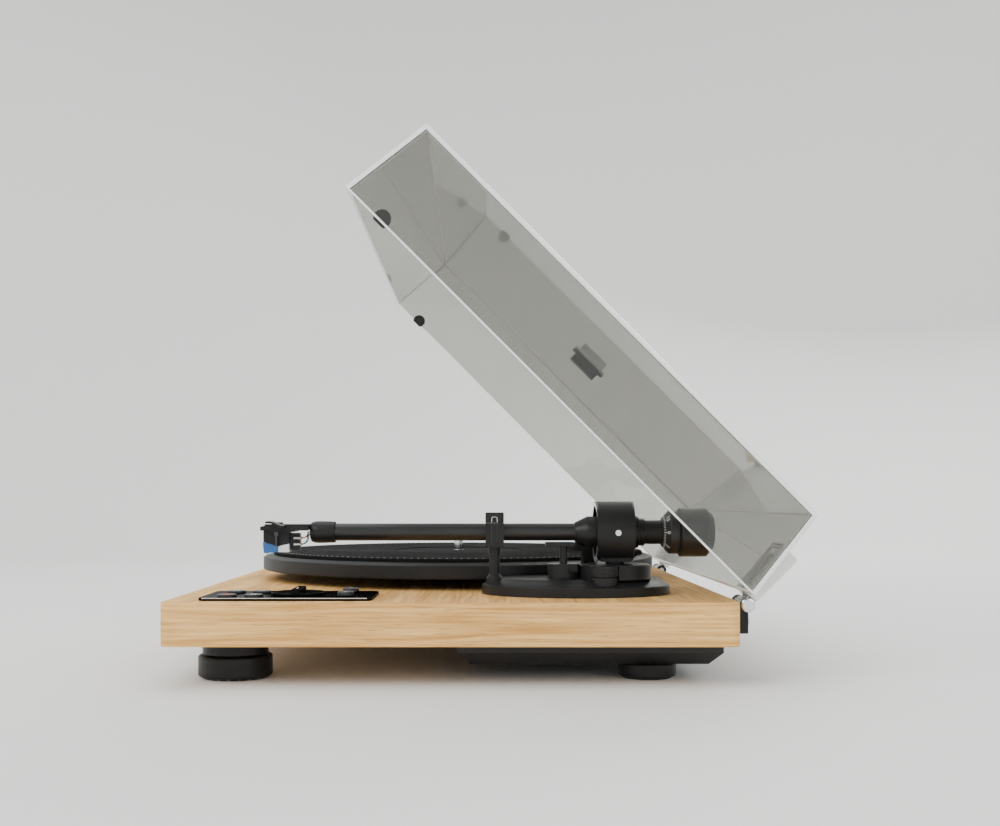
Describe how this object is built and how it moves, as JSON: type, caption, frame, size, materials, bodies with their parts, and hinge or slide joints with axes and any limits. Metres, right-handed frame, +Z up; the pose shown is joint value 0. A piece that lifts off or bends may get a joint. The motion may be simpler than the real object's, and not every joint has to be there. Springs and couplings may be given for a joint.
{
  "type": "turntable",
  "caption": "Belt-drive turntable on a pale oak plinth, with a straight black tonearm, a low clear dust cover on rear hinges, and a small control panel.",
  "frame": {"origin": "on the shelf, under the middle of the whole outline with the cover open", "axes": "+X to the right seen from the front, +Y to the back, +Z up"},
  "size_m": [0.42, 0.3984, 0.3422],
  "materials": {
    "oak_veneer": "pale oak veneer, satin",
    "box_plastic": "fine-grained dark plastic",
    "foot_plastic": "black, satin",
    "black_rubber": "soft black rubber",
    "steel": "plain zinc-plated steel",
    "bearing_aluminium": "turned",
    "bush_bronze": "sintered bronze",
    "motor_metal": "plated can",
    "panel_black": "piano black with polished bevel",
    "board_green": "soldermask",
    "plate_black": "powder coated",
    "gold_plate": "gold plated, polished",
    "bright_chrome": "polished",
    "arm_black": "satin black anodised",
    "arm_tube_black": "satin black tube with a soft sheen",
    "platter_black": "satin black, machined shoulder",
    "mat_rubber": "fine-grained rubber mat",
    "cartridge_black": "moulded black",
    "stylus_blue": "blue moulding with a white plug",
    "weight_black": "satin black with fine turned lines",
    "clear_smoke": "lightly smoked clear acrylic",
    "button_grey": "dark grey button"
  },
  "bodies": {
    "base": {"plinth": "oak_veneer", "underside_box": "box_plastic", "underside_screws": "steel", "front_foot_necks": "foot_plastic", "front_foot_pucks": "foot_plastic", "rear_foot_pucks": "foot_plastic", "foot_pads": "black_rubber", "bearing_housing": "bearing_aluminium", "bearing_bush": "bush_bronze", "wood_screws": "steel", "motor": "motor_metal", "motor_plate": "steel", "drive_belt": "black_rubber", "control_panel": "panel_black", "control_board": "board_green", "main_board": "board_green", "jack_plate": "plate_black", "phono_jacks": "gold_plate", "power_socket": "foot_plastic", "ground_terminal": "bright_chrome", "hinge_sockets": "foot_plastic", "hinge_pins": "steel", "arm_base": "arm_black", "pivot_tower": "arm_black", "arm_nut": "steel", "arm_rest": "arm_black", "lift_base": "arm_black"},
    "platter_body": {"platter": "platter_black", "sub_platter": "foot_plastic", "spindle": "bright_chrome", "platter_mat": "mat_rubber"},
    "pulley": {"motor_pulley": "bearing_aluminium"},
    "yoke": {"gimbal_ring": "arm_black", "bearing_screws": "steel"},
    "arm": {"arm_tube": "arm_tube_black", "bearing_sleeve": "arm_black", "rear_stub": "arm_black", "headshell": "arm_black", "cartridge": "cartridge_black", "cartridge_screws": "steel"},
    "collar": {"head_collar": "arm_black"},
    "stylus_assembly": {"stylus": "stylus_blue"},
    "weight_carrier": {"weight_sleeve": "steel"},
    "weight": {"counterweight": "weight_black"},
    "force_dial": {"dial_ring": "weight_black"},
    "lift": {"lift_bar": "arm_black"},
    "cue": {"cue_lever": "arm_black"},
    "latch": {"rest_latch": "arm_black"},
    "anti_skate": {"anti_skate_knob": "arm_black"},
    "cover": {"dust_cover": "clear_smoke", "hinge_knuckles": "bright_chrome", "lid_bumpers": "black_rubber", "lid_pad": "black_rubber"},
    "button_1": {"button_near_front": "button_grey"},
    "button_2": {"button_near_back": "button_grey"},
    "button_3": {"button_far_front": "button_grey"},
    "button_4": {"button_far_back": "button_grey"},
    "knob_1": {"knob_near": "button_grey"},
    "knob_2": {"knob_far": "button_grey"},
    "selector": {"speed_selector": "panel_black"}
  },
  "joints": [
    {"name": "platter_spin", "type": "hinge", "parent": "base", "child": "platter_body", "pos_m": [-0.035, -0.02421, 0.06], "axis": [0, 0, 1], "continuous": true},
    {"name": "pulley_spin", "type": "hinge", "parent": "base", "child": "pulley", "pos_m": [-0.1248, 0.0656, 0.055], "axis": [0, 0, 1], "continuous": true},
    {"name": "arm_swing", "type": "hinge", "parent": "base", "child": "yoke", "pos_m": [0.145, 0.08199, 0.0923], "axis": [0, 0, -1], "range_deg": [0, 47]},
    {"name": "arm_tilt", "type": "hinge", "parent": "yoke", "child": "arm", "pos_m": [0.145, 0.08199, 0.0923], "axis": [-1, 0, 0], "range_deg": [-0.75, 12]},
    {"name": "collar_turn", "type": "hinge", "parent": "arm", "child": "collar", "pos_m": [0.145, -0.10821, 0.0923], "axis": [0, 1, 0], "range_deg": [0, 40]},
    {"name": "stylus_pull", "type": "slide", "parent": "arm", "child": "stylus_assembly", "axis": [0, -0.9659, -0.2588], "range_m": [0, 0.012]},
    {"name": "weight_slide", "type": "slide", "parent": "arm", "child": "weight_carrier", "axis": [0, 1, 0], "range_m": [-0.005, 0.001]},
    {"name": "weight_spin", "type": "hinge", "parent": "weight_carrier", "child": "weight", "pos_m": [0.145, 0.13079, 0.0923], "axis": [0, 1, 0], "range_deg": [-900, 180]},
    {"name": "force_dial_turn", "type": "hinge", "parent": "weight_carrier", "child": "force_dial", "pos_m": [0.145, 0.11779, 0.0923], "axis": [0, 1, 0], "continuous": true},
    {"name": "cue_lever_turn", "type": "hinge", "parent": "base", "child": "cue", "pos_m": [0.116, 0.08199, 0.0675], "axis": [-1, 0, 0], "range_deg": [0, 30]},
    {"name": "lift_lower", "type": "slide", "parent": "base", "child": "lift", "axis": [0, 0, -1], "range_m": [0, 0.0025]},
    {"name": "latch_turn", "type": "hinge", "parent": "base", "child": "latch", "pos_m": [0.15285, 0.00729, 0.09835], "axis": [0, 0, -1], "range_deg": [0, 90]},
    {"name": "anti_skate_turn", "type": "hinge", "parent": "base", "child": "anti_skate", "pos_m": [0.167, 0.07279, 0.06], "axis": [0, 0, -1], "range_deg": [0, 270]},
    {"name": "lid_hinge", "type": "hinge", "parent": "base", "child": "cover", "pos_m": [0, 0.15915, 0.0485], "axis": [-1, 0, 0], "range_deg": [-45, 20]},
    {"name": "button_1_press", "type": "slide", "parent": "base", "child": "button_1", "axis": [0, 0, -1], "range_m": [0, 0.0008], "stiffness_N_per_m": 600},
    {"name": "button_2_press", "type": "slide", "parent": "base", "child": "button_2", "axis": [0, 0, -1], "range_m": [0, 0.0008], "stiffness_N_per_m": 600},
    {"name": "button_3_press", "type": "slide", "parent": "base", "child": "button_3", "axis": [0, 0, -1], "range_m": [0, 0.0008], "stiffness_N_per_m": 600},
    {"name": "button_4_press", "type": "slide", "parent": "base", "child": "button_4", "axis": [0, 0, -1], "range_m": [0, 0.0008], "stiffness_N_per_m": 600},
    {"name": "knob_1_turn", "type": "hinge", "parent": "base", "child": "knob_1", "pos_m": [0.1842, -0.08969, 0.055], "axis": [0, 0, -1], "range_deg": [-135, 135]},
    {"name": "knob_2_turn", "type": "hinge", "parent": "base", "child": "knob_2", "pos_m": [0.1558, -0.08969, 0.055], "axis": [0, 0, -1], "range_deg": [-135, 135]},
    {"name": "selector_turn", "type": "hinge", "parent": "base", "child": "selector", "pos_m": [0.17, -0.12119, 0.055], "axis": [0, 0, -1], "range_deg": [-45, 45]}
  ],
  "couplings": [
    {"joint": "pulley_spin", "follows": "platter_spin", "ratio": 12.267},
    {"joint": "weight_slide", "follows": "weight_spin", "m_per_rad": 0.00031831},
    {"joint": "cue_lever_turn", "follows": "lift_lower", "rad_per_m": 209.44}
  ]
}
